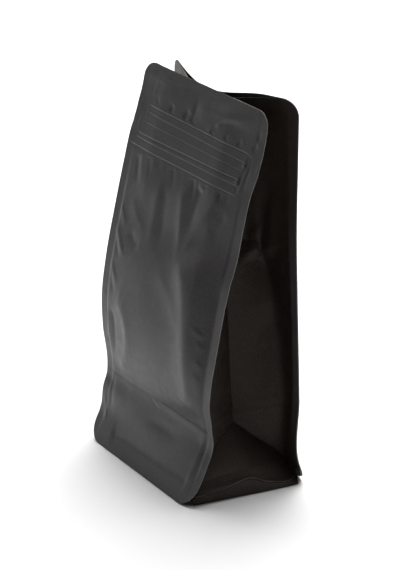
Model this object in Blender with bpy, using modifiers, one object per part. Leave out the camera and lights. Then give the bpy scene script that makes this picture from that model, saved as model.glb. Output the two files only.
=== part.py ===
"""Flat-bottom side-gusset pouch, empty and a little open, standing on its base.

Six films and strips, each its own object: a front panel, a back panel, two side gussets that
fold inward, a base film and the zip strip sealed behind the front panel. Lengths are in metres,
+Z is up, the front faces -Y and the origin is on the floor under the middle of the base.
"""
import bpy
import bmesh
import numpy as np
from mathutils import Vector

MM = 0.001

# Driving dimensions
PANEL_WIDTH = 135 * MM
PANEL_LENGTH = 265 * MM         # film length of the front and back panels
SIDE_SEAL = 8 * MM              # width of the flat seal down every upright edge
BASE_SEAL = 11 * MM             # height of the seal between base film and panels
WALL = 0.8 * MM                 # film wall, thicker than the real film
GAP = 0.3 * MM                  # clearance between neighbouring films
TOP_CORNER = 11 * MM
FOOT_CORNER = 15 * MM
FOOT_LIFT = 0.4 * MM            # keeps the slanted feet's inner rims off the floor
ZIP_BOTTOM = 209 * MM           # film length from the foot to the zip strip
ZIP_TOP = 238 * MM
ZIP_HALF_LENGTH = 45 * MM
ZIP_RIBS = 4
ZIP_RIB_HEIGHT = 1 * MM

HALF_WIDTH = PANEL_WIDTH / 2
SEAL_LINE = HALF_WIDTH - SIDE_SEAL
LAYER = WALL + GAP

# Depth (y) of each upright edge at stations of film length up from its foot, in millimetres
FRONT_LEFT = ((0, -45), (23, -35.2), (37, -33.6), (47, -30.8), (54, -30.6), (80, -34), (105, -34.7),
              (129, -31.9), (168, -24.4), (197, -18), (217, -13.3), (232, -8.6), (245, -5.2),
              (265, -1.9))
FRONT_RIGHT = ((0, -45), (27, -32.7), (46, -27.2), (54, -28.4), (77, -29.2), (110, -24.2),
               (149, -16.9), (168, -11.6), (188, -8), (212, -2.6), (227, 2.6), (245, 6.8),
               (265, 10))
BACK_LEFT = ((0, 45), (15, 38.5), (62, 38), (110, 36), (150, 32), (190, 26.5), (225, 21.5),
             (265, 18.6))
BACK_RIGHT = ((0, 45), (15, 38.2), (62, 36.5), (133, 33.3), (173, 31.6), (220, 31.2),
              (265, 31))
FRONT_TOP_DROP = (1.4 * MM, 1.3 * MM)  # how much lower creases bring the left and right corners
BACK_TOP_DROP = (6 * MM, 2 * MM)
BACK_BOW_START = 110 * MM              # film length where the back starts to bow forward
BACK_BOW = 13.5 * MM                   # forward bow of the back panel's top edge
BACK_SAG = 7 * MM                      # droop of that edge at its lowest point
BACK_SAG_X = -10 * MM                  # where that point is, and how far either side it reaches
BACK_SAG_REACH = 55 * MM

# Side gusset, written for the right side and in millimetres: 90 mm of film between its seals
# low down and about 80 mm at the top, where real film would bunch up.
# Its lower end is a flared fin: the hinge and the free edge of that fin, front to back. A flat
# triangle rises from the hinge to the end of the centre fold.
HINGE = ((60, -29.6, 13.1), (60.3, -14, 15), (60.3, 1, 15.4), (60.3, 13, 12.4), (60, 27, 9.8))
FIN_EDGE = ((65, -34, 6.8), (66.2, -18, 8.8), (66.4, 1, 12.4), (66.4, 15, 7), (65.4, 30, 4))
FOLD_END = (34, 7, 38.6)
# Centre fold above the triangle, by film length: its x, its place from front (0) to back (1),
# and how much lower it is than the panels
FOLD = ((45, 34, 0.55, 4.9), (62, 31.3, 0.56, 4.5), (92, 28.5, 0.575, 4), (123, 25.3, 0.57, 3.5),
        (147, 24, 0.6, 1.5), (163, 20, 0.8, 2), (209, 21, 0.6, 2), (265, 22, 0.5, 2))
# The gusset's rear half first lies flush on the back panel: x of the line where it leaves it
BEND = ((45, 59.5), (57, 50), (89, 42), (120, 35.7), (147, 27), (163, 30), (209, 45), (265, 59))

# Base film: flat on the floor to these half sizes, then rising to the seals and the side hinges
BASE_FLAT_X = 48 * MM
BASE_FLAT_Y = 28 * MM
BASE_RIM_Y = 33 * MM
BASE_RIM_Z = 3.4 * MM

# Mesh steps
COLUMNS = 12                    # across a panel
FOLD_STEPS = 6                  # from a gusset's seal to its centre fold
CORNER_ROWS = 4
FOOT_LENGTHS = (0, 1.2 * MM, 4.2 * MM, 8 * MM)
FOLD_START = 45 * MM            # film length level with the end of the centre fold
FOLD_BLEND = 40 * MM            # film length over which the fold grows blunt
FOLD_RADIUS = 1.2 * MM
FLUSH_ROOM = 0.3 * MM           # extra clearance where a gusset lies flush on a panel
SIDE_ROOM = 0.8 * MM            # extra clearance of the base film under the side hinges

FILM_COLOUR = (0.032, 0.030, 0.029, 1)
GUSSET_COLOUR = (0.022, 0.019, 0.018, 1)
STRIP_COLOUR = (0.60, 0.60, 0.58, 1)


def through(stations, scale=1.0):
    """A smooth curve through (position, value) stations, level at neither end."""
    at = np.array([station[0] for station in stations], float) * scale
    value = np.array([station[1:] for station in stations], float) * scale
    slope = np.gradient(value, at, axis=0)

    def curve(position):
        position = min(max(position, at[0]), at[-1])
        i = min(max(int(np.searchsorted(at, position)) - 1, 0), len(at) - 2)
        span = at[i + 1] - at[i]
        t = (position - at[i]) / span
        keep = (1 + 2 * t) * (1 - t) ** 2
        return (keep * value[i] + (1 - keep) * value[i + 1]
                + span * t * (1 - t) * ((1 - t) * slope[i] - t * slope[i + 1]))
    return curve


def edge_profile(stations, drop=0.0):
    """One upright edge: film length to (depth, height), its height shortened by its slope."""
    depth = through(stations, MM)
    lengths = np.linspace(0, PANEL_LENGTH, 266)
    depths = np.array([depth(length)[0] for length in lengths])
    rises = np.sqrt(np.diff(lengths) ** 2 - np.diff(depths) ** 2)
    heights = FOOT_LIFT + np.concatenate(([0.0], np.cumsum(rises)))
    heights -= drop * (lengths / PANEL_LENGTH) ** 2

    def profile(length):
        return np.array([np.interp(length, lengths, depths), np.interp(length, lengths, heights)])
    return profile


FOLD_AT = [station[0] * MM for station in FOLD]
FOLD_VALUES = list(zip(*(station[1:] for station in FOLD)))
BEND_LINE = np.array(BEND).T * MM
FRONT_EDGES = [edge_profile(*edge) for edge in zip((FRONT_LEFT, FRONT_RIGHT), FRONT_TOP_DROP)]
BACK_EDGES = [edge_profile(*edge) for edge in zip((BACK_LEFT, BACK_RIGHT), BACK_TOP_DROP)]


def ruled(edges, x, length):
    """A point of the straight-ruled sheet between a left and a right edge."""
    share = (x + HALF_WIDTH) / PANEL_WIDTH
    depth, height = edges[0](length) * (1 - share) + edges[1](length) * share
    return np.array([x, depth, height])


def front_face(x, length):
    """The outer face of the front panel."""
    return ruled(FRONT_EDGES, x, length)


def back_face(x, length):
    """The outer face of the back panel, bowed forward near its top edge."""
    point = ruled(BACK_EDGES, x, length)
    middle = 1 - (x / HALF_WIDTH) ** 2
    rise = max(0.0, length - BACK_BOW_START) / (PANEL_LENGTH - BACK_BOW_START)
    droop = max(0.0, 1 - ((x - BACK_SAG_X) / BACK_SAG_REACH) ** 2) ** 2
    point[1] -= BACK_BOW * middle * rise ** 2 * (3 - 2 * rise)
    point[2] -= BACK_SAG * droop * rise ** 2
    return point


def inset(face, x, length, depth):
    """A point behind a panel's outer face, on the pouch's inner side of it."""
    step = 0.5 * MM
    across = face(x + step, length) - face(x - step, length)
    along = face(x, min(length + step, PANEL_LENGTH)) - face(x, max(length - step, 0))
    normal = np.cross(along, across)
    if face is back_face:
        normal = -normal
    return face(x, length) + depth * normal / np.linalg.norm(normal)


def half_width(length):
    """Half the width of a panel at a film length, with rounded top and foot corners."""
    above = length - (PANEL_LENGTH - TOP_CORNER)
    below = FOOT_CORNER - length
    if above > 0:
        return HALF_WIDTH - TOP_CORNER + np.sqrt(max(0.0, TOP_CORNER ** 2 - above ** 2))
    if below > 0:
        return HALF_WIDTH - FOOT_CORNER + np.sqrt(max(0.0, FOOT_CORNER ** 2 - below ** 2))
    return HALF_WIDTH


def round_steps(radius, steps):
    """Heights from the start of a quarter round to its end, at equal angles."""
    return [radius * np.sin(np.pi / 2 * step / steps) for step in range(steps + 1)]


def sheet(name, rows, thickness_side, colour, creases=()):
    """One film: a grid through rows of points, with a wall added on one side by Solidify.

    thickness_side is +1 where the wall grows along the grid's normals and -1 against them.
    creases lists the grid cells, as (row, column, rising), that fold along a diagonal.
    """
    row_count, column_count = len(rows), len(rows[0])
    mesh = bmesh.new()
    bmesh.ops.create_grid(mesh, x_segments=column_count - 1, y_segments=row_count - 1, size=0.5)
    ordered = sorted(mesh.verts, key=lambda vert: (round(vert.co.y, 5), round(vert.co.x, 5)))
    grid = [ordered[row * column_count:(row + 1) * column_count] for row in range(row_count)]
    for row, points in zip(grid, rows):
        for vert, point in zip(row, points):
            vert.co = Vector(point)
    for row, column, rising in creases:
        low, high = (column, column + 1) if rising else (column + 1, column)
        ends = (grid[row][low], grid[row + 1][high])
        bmesh.ops.connect_verts(mesh, verts=ends)
    data = bpy.data.meshes.new(name)
    mesh.to_mesh(data)
    mesh.free()
    piece = bpy.data.objects.new(name, data)
    POUCH.objects.link(piece)
    wall = piece.modifiers.new("wall", "SOLIDIFY")
    wall.thickness = WALL
    wall.offset = thickness_side
    wall.use_even_offset = True
    piece.data.materials.append(film_material(name, colour))
    return piece


def film_material(name, colour):
    """A plain matt finish in one colour."""
    finish = bpy.data.materials.new(name + "_finish")
    finish.use_nodes = True
    shader = finish.node_tree.nodes["Principled BSDF"]
    shader.inputs["Base Color"].default_value = colour
    shader.inputs["Roughness"].default_value = 0.5
    shader.inputs["Metallic"].default_value = 0.0
    return finish


def triangle_lengths():
    """Film lengths of the rows beside a gusset's flat triangle, from its hinge to its tip."""
    return list(np.linspace(BASE_SEAL, FOLD_START, FOLD_STEPS + 1))


def shaft_lengths():
    """Film lengths of the rows above the triangle, close together at the zip and top corners."""
    top_start = PANEL_LENGTH - TOP_CORNER
    return (list(np.linspace(FOLD_START, ZIP_BOTTOM, 14)[1:])
            + list(np.linspace(ZIP_BOTTOM, ZIP_TOP, 6)[1:])
            + [(ZIP_TOP + top_start) / 2]
            + [top_start + step for step in round_steps(TOP_CORNER, CORNER_ROWS)])


def panel(name, face, thickness_side):
    """A front or back panel."""
    shares = np.linspace(-1, 1, COLUMNS + 1)
    lengths = [*FOOT_LENGTHS, *triangle_lengths(), *shaft_lengths()]
    rows = [[face(share * half_width(length), length) for share in shares] for length in lengths]
    return sheet(name, rows, thickness_side, FILM_COLOUR)


def fold_point(side, length):
    """A gusset's centre fold at a film length of the panels."""
    x, share, drop = np.array([np.interp(length, FOLD_AT, values) for values in FOLD_VALUES])
    front = inset(front_face, side * x * MM, length, LAYER + FOLD_RADIUS)
    back = inset(back_face, side * x * MM, length, LAYER + 2 * FOLD_RADIUS)
    point = front + (back - front) * share
    point[2] = (front[2] + back[2]) / 2 - drop * MM
    return point


def clear_of(face, point, length, clearance):
    """The point, moved off a panel's inner side if it is nearer than the clearance."""
    limit = inset(face, point[0], length, LAYER + clearance)[1]
    clamp = max if face is front_face else min
    return np.array([point[0], clamp(point[1], limit), point[2]])


def wall(side, face, length, inner, shares):
    """Points of a flat gusset wall at shares of the way from its seal line to an inner point."""
    start = inset(face, side * SEAL_LINE, length, LAYER)
    return [clear_of(face, start + (inner - start) * share, length,
                     FLUSH_ROOM * min(1, 4 * share)) for share in shares]


def bent_wall(side, length, inner, shares):
    """Points of a gusset's rear half, from its seal line: flush on the back, then to the fold."""
    bend_x = np.interp(length, *BEND_LINE)
    bend = inset(back_face, side * bend_x, length, LAYER + FLUSH_ROOM)
    flush = SEAL_LINE - bend_x
    path = flush + np.linalg.norm(bend - inner)
    points = []
    for travelled in path * shares:
        if travelled < flush:
            x = side * (SEAL_LINE - travelled)
            points.append(inset(back_face, x, length, LAYER + FLUSH_ROOM))
        else:
            point = bend + (inner - bend) * (travelled - flush) / (path - flush)
            points.append(clear_of(back_face, point, length, FLUSH_ROOM))
    return points


def seal_edge(side, face, length):
    """A point of the outer edge of a gusset's seal against one panel."""
    return inset(face, side * half_width(length), length, LAYER)


def seal_line(side, face, length):
    """A point of the inner edge of a gusset's seal against one panel."""
    x = min(SEAL_LINE, half_width(length) - 2 * MM)
    return inset(face, side * x, length, LAYER)


def fin_row(side, stations, seal_length):
    """A row along a gusset's fin, from its seal on the front panel to its seal on the back."""
    mirror = np.array([side, 1, 1])
    points = [np.array(station) * MM * mirror for station in stations]
    points = [seal_line(side, front_face, seal_length), *points,
              seal_line(side, back_face, seal_length)]
    along = through([(i, *point) for i, point in enumerate(points)])
    return [along(position) for position in np.linspace(0, len(points) - 1, 2 * FOLD_STEPS + 1)]


def gusset_rows(side):
    """Rows of points of one side gusset, from the free edge of its fin to its top edge."""
    edge_row = fin_row(side, FIN_EDGE, FOOT_LENGTHS[2])
    hinge_row = fin_row(side, HINGE, BASE_SEAL)
    fold_end = np.array(FOLD_END) * MM * np.array([side, 1, 1])
    rows = []
    for row, length in ((edge_row, FOOT_LENGTHS[3]), (hinge_row, BASE_SEAL)):
        rows.append([seal_edge(side, front_face, length), *row, seal_edge(side, back_face, length)])

    for step, length in enumerate(triangle_lengths()[1:], start=1):
        rise = (fold_end - hinge_row[FOLD_STEPS]) * step / FOLD_STEPS
        facet = [point + rise for point in hinge_row[step:2 * FOLD_STEPS + 1 - step]]
        shares = np.arange(step) / step
        front = wall(side, front_face, length, facet[0], shares)
        back = wall(side, back_face, length, facet[-1], shares)
        rows.append([seal_edge(side, front_face, length), *front, *facet, *reversed(back),
                     seal_edge(side, back_face, length)])

    for length in shaft_lengths():
        blend = min(1, (length - FOLD_START) / FOLD_BLEND)
        fold = fold_point(side, length)
        shares = np.arange(1, FOLD_STEPS) / (FOLD_STEPS - blend)
        front = wall(side, front_face, length, fold, shares)
        back = bent_wall(side, length, fold, shares)
        cheek = np.array([side * FOLD_RADIUS / 2, FOLD_RADIUS, 0]) * blend
        front[-1] += cheek * np.array([1, -1, 1])
        back[-1] = clear_of(back_face, back[-1] + cheek, length, FLUSH_ROOM)
        rows.append([seal_edge(side, front_face, length), seal_line(side, front_face, length),
                     *front, fold, *reversed(back),
                     seal_line(side, back_face, length), seal_edge(side, back_face, length)])
    return rows


def gusset(name, side):
    """A side gusset: V-folded film with a flat triangle and a flared fin at its lower end."""
    columns = 2 * FOLD_STEPS + 2
    creases = [(1 + step, 1 + step, True) for step in range(FOLD_STEPS)]
    creases += [(1 + step, columns - 2 - step, False) for step in range(FOLD_STEPS)]
    return sheet(name, gusset_rows(side), side, GUSSET_COLOUR, creases)


def base_rows():
    """Rows of points of the base film's inner face, from its front seal to its back seal."""
    side_x = SEAL_LINE - 0.6 * MM
    seal_lengths = [*FOOT_LENGTHS[1:], BASE_SEAL]
    columns = [-side_x, -(side_x + BASE_FLAT_X) / 2, -BASE_FLAT_X, -BASE_FLAT_X / 2, 0,
               BASE_FLAT_X / 2, BASE_FLAT_X, (side_x + BASE_FLAT_X) / 2, side_x]
    hinge = through([(y, z) for x, y, z in HINGE], MM)

    def seal_row(face, length):
        limit = half_width(length) - 0.8 * MM
        return [inset(face, min(max(x, -limit), limit), length, LAYER) for x in columns]

    def floor_row(y, rim):
        row = []
        for x in columns:
            rise = max(0, abs(x) - BASE_FLAT_X) / (side_x - BASE_FLAT_X)
            side_height = hinge(y)[0] - LAYER - SIDE_ROOM
            row.append(np.array([x, y, WALL + rim * (1 - rise) + rise * side_height]))
        return row

    flat = np.linspace(-BASE_FLAT_Y, BASE_FLAT_Y, 5)
    return ([seal_row(front_face, length) for length in seal_lengths]
            + [floor_row(-BASE_RIM_Y, BASE_RIM_Z)] + [floor_row(y, 0) for y in flat]
            + [floor_row(BASE_RIM_Y, BASE_RIM_Z)]
            + [seal_row(back_face, length) for length in reversed(seal_lengths)])


def base_film(name):
    """The base: flat on the floor, sealed inside both feet and rising to the side hinges."""
    return sheet(name, base_rows(), -1, GUSSET_COLOUR)


def zip_strip(name):
    """The press-to-close strip sealed behind the front panel, with ribs along it."""
    steps = 4 * ZIP_RIBS + 2
    columns = np.linspace(-ZIP_HALF_LENGTH, ZIP_HALF_LENGTH, 9)
    rows = []
    for step in range(steps + 1):
        length = ZIP_BOTTOM + (ZIP_TOP - ZIP_BOTTOM) * step / steps
        height = ZIP_RIB_HEIGHT if step % 4 == 3 else 0
        rows.append([inset(front_face, x, length, LAYER + 0.2 * MM + height) for x in columns])
    return sheet(name, rows, -1, STRIP_COLOUR)


for leftover in list(bpy.data.objects):
    bpy.data.objects.remove(leftover, do_unlink=True)
POUCH = bpy.data.collections.new("pouch")
bpy.context.scene.collection.children.link(POUCH)

panel("front_panel", front_face, -1)
panel("back_panel", back_face, 1)
gusset("gusset_left", -1)
gusset("gusset_right", 1)
base_film("base_film")
zip_strip("zip_strip")
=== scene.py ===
"""Looks of the empty flat-bottom pouch: matt black film with its folds, seals and zip band.

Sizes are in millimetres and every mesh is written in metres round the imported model. A place on a
film is (across, up): across from the panel's middle line and up from its foot, along the film.
"""

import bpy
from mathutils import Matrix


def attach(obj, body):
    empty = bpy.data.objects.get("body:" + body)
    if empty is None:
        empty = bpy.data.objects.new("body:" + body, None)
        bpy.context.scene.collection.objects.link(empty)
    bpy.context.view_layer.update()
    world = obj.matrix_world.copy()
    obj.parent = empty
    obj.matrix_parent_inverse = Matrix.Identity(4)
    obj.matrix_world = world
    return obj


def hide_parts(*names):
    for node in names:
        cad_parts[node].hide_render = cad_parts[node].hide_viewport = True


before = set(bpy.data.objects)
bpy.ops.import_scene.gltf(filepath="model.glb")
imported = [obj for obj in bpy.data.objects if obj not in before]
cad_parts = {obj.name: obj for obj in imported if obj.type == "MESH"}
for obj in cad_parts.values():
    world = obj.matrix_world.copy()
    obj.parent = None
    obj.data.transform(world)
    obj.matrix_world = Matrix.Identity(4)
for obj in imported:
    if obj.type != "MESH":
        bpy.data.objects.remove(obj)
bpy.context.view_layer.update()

import logging
from dataclasses import dataclass, field
from enum import Enum
from functools import cached_property, lru_cache

import bmesh
import bpy
import numpy as np
from mathutils import Euler, Vector

LOG = logging.getLogger("pouch")
MM = 0.001

# Driving dimensions, as in the frame
WIDTH = 135.0               # of a panel
LENGTH = 265.0              # of a panel's film, foot to top edge
SIDE_SEAL = 8.0
BASE_SEAL = 11.0
TOP_CORNER = 11.0
FOOT_CORNER = 15.0
FOOT_LIFT = 0.4
FILM = 0.24                 # thickness of one film
LAYER = 0.42                # from a panel's outer face to the film sealed behind it
HALF = WIDTH / 2
SEAL_LINE = HALF - SIDE_SEAL
FOLD_START = 45.0           # film length level with the lower end of a gusset's centre fold
FOLD_REACH = 5              # widths away from a fold's line where its flank has died out


class Side(Enum):
    """A side of the pouch, with the sign of its x."""

    LEFT = -1
    RIGHT = 1


class Face(Enum):
    """A panel of the pouch, with the sign of its outward y."""

    FRONT = -1
    BACK = 1


class Growth(Enum):
    """Where a film's thickness goes, against or along its grid's normals."""

    AGAINST = -1
    ALONG = 1


def eased(share: np.ndarray) -> np.ndarray:
    """A share from 0 to 1, slow at both ends."""
    share = np.clip(share, 0, 1)
    return share * share * (3 - 2 * share)


class Curve:
    """A smooth curve through stations of a position and one or more values."""

    def __init__(self, stations: tuple | np.ndarray) -> None:
        """Keep the stations and the slope at each.

        Args:
            stations: rows of a position and its values, by rising position.
        """
        table = np.array(stations, float)
        self.at, self.value = table[:, 0], table[:, 1:]
        self.slope = np.gradient(self.value, self.at, axis=0)

    def __call__(self, position: np.ndarray) -> np.ndarray:
        """The values at some positions.

        Args:
            position: an array of positions.

        Returns:
            An array with one more axis, of the curve's values.
        """
        position = np.clip(np.asarray(position, float), self.at[0], self.at[-1])
        i = np.clip(np.searchsorted(self.at, position) - 1, 0, len(self.at) - 2)
        span = (self.at[i + 1] - self.at[i])[..., None]
        t = (position - self.at[i])[..., None] / span
        keep = (1 + 2 * t) * (1 - t) ** 2
        return (keep * self.value[i] + (1 - keep) * self.value[i + 1]
                + span * t * (1 - t) * ((1 - t) * self.slope[i] - t * self.slope[i + 1]))


@lru_cache(maxsize=None)
def traced(line: tuple, steps: int = 14) -> np.ndarray:
    """Points at equal spacing on a smooth curve through the corners of a line.

    Args:
        line: the corners, as (across, up) places.
        steps: how many stretches to make.

    Returns:
        The points, as (steps + 1, 2).
    """
    corners = np.array(line, float)
    gone = np.concatenate(([0], np.cumsum(np.linalg.norm(np.diff(corners, axis=0), axis=1))))
    return Curve(np.column_stack((gone, corners)))(np.linspace(0, gone[-1], steps + 1))


@dataclass(frozen=True)
class Fold:
    """A fold along a smooth line: it stands out of the film, or is pressed in if height is below 0.

    width is how far its flank reaches on the left of the line's direction, far_width on the right.
    """

    line: tuple
    height: float
    width: float
    far_width: float = 0.0
    crest: float = 0.8
    fade: tuple = (0.3, 0.3)

    def raised(self, x: np.ndarray, s: np.ndarray) -> np.ndarray:
        """How far the fold stands out at film places.

        Args:
            x: places across the film.
            s: places up the film.

        Returns:
            Heights in millimetres.
        """
        path = traced(self.line)
        reach = FOLD_REACH * max(self.width, self.far_width) + self.crest
        low, high = path.min(0) - reach, path.max(0) + reach
        near = (x > low[0]) & (x < high[0]) & (s > low[1]) & (s < high[1])
        out = np.zeros_like(x)
        px, ps = x[near], s[near]
        best = np.full(px.shape, np.inf)
        share, side = np.zeros_like(px), np.zeros_like(px)
        for i, (a, b) in enumerate(zip(path[:-1], path[1:])):
            run = b - a
            t = np.clip(((px - a[0]) * run[0] + (ps - a[1]) * run[1]) / (run @ run), 0, 1)
            dx, ds = px - a[0] - t * run[0], ps - a[1] - t * run[1]
            away = dx * dx + ds * ds
            closer = away < best
            best = np.where(closer, away, best)
            share = np.where(closer, (i + t) / (len(path) - 1), share)
            side = np.where(closer, run[0] * ds - run[1] * dx, side)
        width = np.where(side > 0, self.width, self.far_width or self.width)
        fall = np.exp(-(np.sqrt(best + self.crest ** 2) - self.crest) / width)
        start, end = (max(fade, 0.01) for fade in self.fade)
        out[near] = self.height * fall * (eased(share / start) * eased((1 - share) / end))
        return out


@dataclass(frozen=True)
class Dent:
    """A rounded hollow, or a swelling if height is above 0, turned by some degrees."""

    at: tuple
    reach: tuple
    height: float
    turn: float = 0.0

    def raised(self, x: np.ndarray, s: np.ndarray) -> np.ndarray:
        """How far the dent stands out at film places.

        Args:
            x: places across the film.
            s: places up the film.

        Returns:
            Heights in millimetres.
        """
        cosine, sine = np.cos(np.radians(self.turn)), np.sin(np.radians(self.turn))
        dx, ds = x - self.at[0], s - self.at[1]
        along, across = dx * cosine + ds * sine, ds * cosine - dx * sine
        return self.height * np.exp(-(along / self.reach[0]) ** 2 - (across / self.reach[1]) ** 2)


@dataclass(frozen=True)
class Swell:
    """The film between the side seals, standing proud of them by a height that varies going up."""

    heights: tuple
    middle: float = 0.0

    def raised(self, x: np.ndarray, s: np.ndarray) -> np.ndarray:
        """How far the film stands out at film places.

        Args:
            x: places across the film.
            s: places up the film.

        Returns:
            Heights in millimetres.
        """
        half = np.where(x > self.middle, SEAL_LINE - self.middle, SEAL_LINE + self.middle)
        round_off = np.clip(1 - (np.abs(x - self.middle) / half) ** 2, 0, 1)
        return Curve(self.heights)(s)[..., 0] * round_off ** 0.8


@dataclass(frozen=True)
class FinStep:
    """The line where a side seal ends and the film lifts off it."""

    side: Side
    heights: tuple
    soft: float = 1.3

    def raised(self, x: np.ndarray, s: np.ndarray) -> np.ndarray:
        """How far the film stands out at film places."""
        inward = SEAL_LINE - self.side.value * x
        return Curve(self.heights)(s)[..., 0] * (eased(inward / self.soft + 0.5) - 0.5)


def crumples(seed: int, count: int, box: tuple, height: float, length: tuple) -> list:
    """Small random folds.

    Args:
        seed: picks the set.
        count: how many.
        box: the least and greatest place across, then up.
        height: the tallest one's height.
        length: the shortest and longest one's length.

    Returns:
        The folds.
    """
    draw = np.random.default_rng(seed)
    found = []
    for _ in range(count):
        at = np.array((draw.uniform(box[0], box[1]), draw.uniform(box[2], box[3])))
        run, angle = draw.uniform(*length), draw.uniform(0, np.pi)
        bend = draw.uniform(-0.25, 0.25) * run
        way = np.array((np.cos(angle), np.sin(angle)))
        middle = at + bend * np.array((-way[1], way[0]))
        line = (tuple(at - way * run / 2), tuple(middle), tuple(at + way * run / 2))
        found.append(Fold(line, draw.uniform(-1, 1) * height, draw.uniform(0.8, 2.2),
                          crest=0.6, fade=(0.5, 0.5)))
    return found


class Edge:
    """One upright edge of a panel: film length to depth and height."""

    def __init__(self, stations: tuple, drop: float, steps: int = 530) -> None:
        """Shorten the edge's height by its slope, and by what its creases take up.

        Args:
            stations: the edge's depth by film length.
            drop: how much the creases take up in all.
            steps: how finely the edge is followed.
        """
        self.lengths = np.linspace(0, LENGTH, steps + 1)
        self.depths = Curve(stations)(self.lengths)[:, 0]
        rises = np.sqrt(np.diff(self.lengths) ** 2 - np.diff(self.depths) ** 2)
        self.heights = FOOT_LIFT + np.concatenate(([0.0], np.cumsum(rises)))
        self.heights -= drop * (self.lengths / LENGTH) ** 2

    def __call__(self, s: np.ndarray) -> tuple:
        """Depth and height at film lengths."""
        return np.interp(s, self.lengths, self.depths), np.interp(s, self.lengths, self.heights)


def half_width(s: np.ndarray) -> np.ndarray:
    """Half a panel's width at film lengths, with rounded top and foot corners.

    Args:
        s: film lengths.

    Returns:
        Half widths in millimetres.
    """
    s = np.asarray(s, float)
    above, below = np.clip(s - LENGTH + TOP_CORNER, 0, None), np.clip(FOOT_CORNER - s, 0, None)
    top = TOP_CORNER - np.sqrt(np.clip(TOP_CORNER ** 2 - above ** 2, 0, None))
    foot = FOOT_CORNER - np.sqrt(np.clip(FOOT_CORNER ** 2 - below ** 2, 0, None))
    return HALF - top - foot


@dataclass
class Sheet:
    """The outer face of a panel, ruled between its two upright edges, with its relief.

    bow is how far the top edge bends forward, and sag how far it hangs down round sag_at.
    """

    face: Face
    left: Edge
    right: Edge
    relief: list = field(default_factory=list)
    bow: float = 0.0
    bow_start: float = 110.0
    sag: float = 0.0
    sag_at: float = -10.0
    sag_reach: float = 55.0
    map_step: float = 0.36

    @cached_property
    def map(self) -> np.ndarray:
        """The relief's height all over the film, on a fine grid.

        Returns:
            Heights in millimetres, by row and column of the grid.
        """
        x = np.arange(-HALF, HALF + self.map_step, self.map_step)
        x, s = np.meshgrid(x, np.arange(0, LENGTH + self.map_step, self.map_step))
        out = np.zeros(x.shape)
        for piece in self.relief:
            out += piece.raised(x, s)
        return out

    def height(self, x: np.ndarray, s: np.ndarray) -> np.ndarray:
        """The relief's height at film places, read off the map.

        Args:
            x: places across the film.
            s: places up the film.

        Returns:
            Heights in millimetres.
        """
        last_row, last_column = np.array(self.map.shape) - 1.001
        column = np.clip((x + HALF) / self.map_step, 0, last_column)
        row = np.clip(s / self.map_step, 0, last_row)
        i, j = row.astype(int), column.astype(int)
        down, over = row - i, column - j
        return ((1 - down) * ((1 - over) * self.map[i, j] + over * self.map[i, j + 1])
                + down * ((1 - over) * self.map[i + 1, j] + over * self.map[i + 1, j + 1]))

    def plain(self, x: np.ndarray, s: np.ndarray) -> np.ndarray:
        """Points of the face before relief.

        Args:
            x: places across the film.
            s: places up the film.

        Returns:
            Points in millimetres.
        """
        share = (x + HALF) / WIDTH
        (left_y, left_z), (right_y, right_z) = self.left(s), self.right(s)
        y, z = left_y * (1 - share) + right_y * share, left_z * (1 - share) + right_z * share
        rise = np.clip(s - self.bow_start, 0, None) / (LENGTH - self.bow_start)
        droop = np.clip(1 - ((x - self.sag_at) / self.sag_reach) ** 2, 0, None) ** 2
        y = y - self.bow * (1 - (x / HALF) ** 2) * rise ** 2 * (3 - 2 * rise)
        z = z - self.sag * droop * rise ** 2
        return np.stack(np.broadcast_arrays(x, y, z), -1)

    def point(self, x: np.ndarray, s: np.ndarray, depth: float = 0.0,
              exact: bool = False) -> np.ndarray:
        """Points of the face or of a layer behind it.

        Args:
            x: places across.
            s: places up, by film length.
            depth: how far behind the outer face, towards the pouch's inside.
            exact: take each place's own relief, and not the map's.

        Returns:
            Points in millimetres.
        """
        x, s = (np.array(a, float) for a in np.broadcast_arrays(x, s))
        step = 0.5
        across = self.plain(x + step, s) - self.plain(x - step, s)
        along = (self.plain(x, np.minimum(s + step, LENGTH))
                 - self.plain(x, np.maximum(s - step, 0)))
        normal = -self.face.value * np.cross(across, along)
        normal /= np.linalg.norm(normal, axis=-1, keepdims=True)
        out = (sum((piece.raised(x, s) for piece in self.relief), np.zeros_like(x)) if exact
               else self.height(x, s))
        return self.plain(x, s) + normal * (out - depth)[..., None]


# --- finishes -----------------------------------------------------------------------------------


def shade(colour: tuple, factor: float) -> tuple:
    """A colour made darker, or lighter if the factor is above 1."""
    return tuple(factor * c for c in colour[:3]) + (1,)


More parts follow.
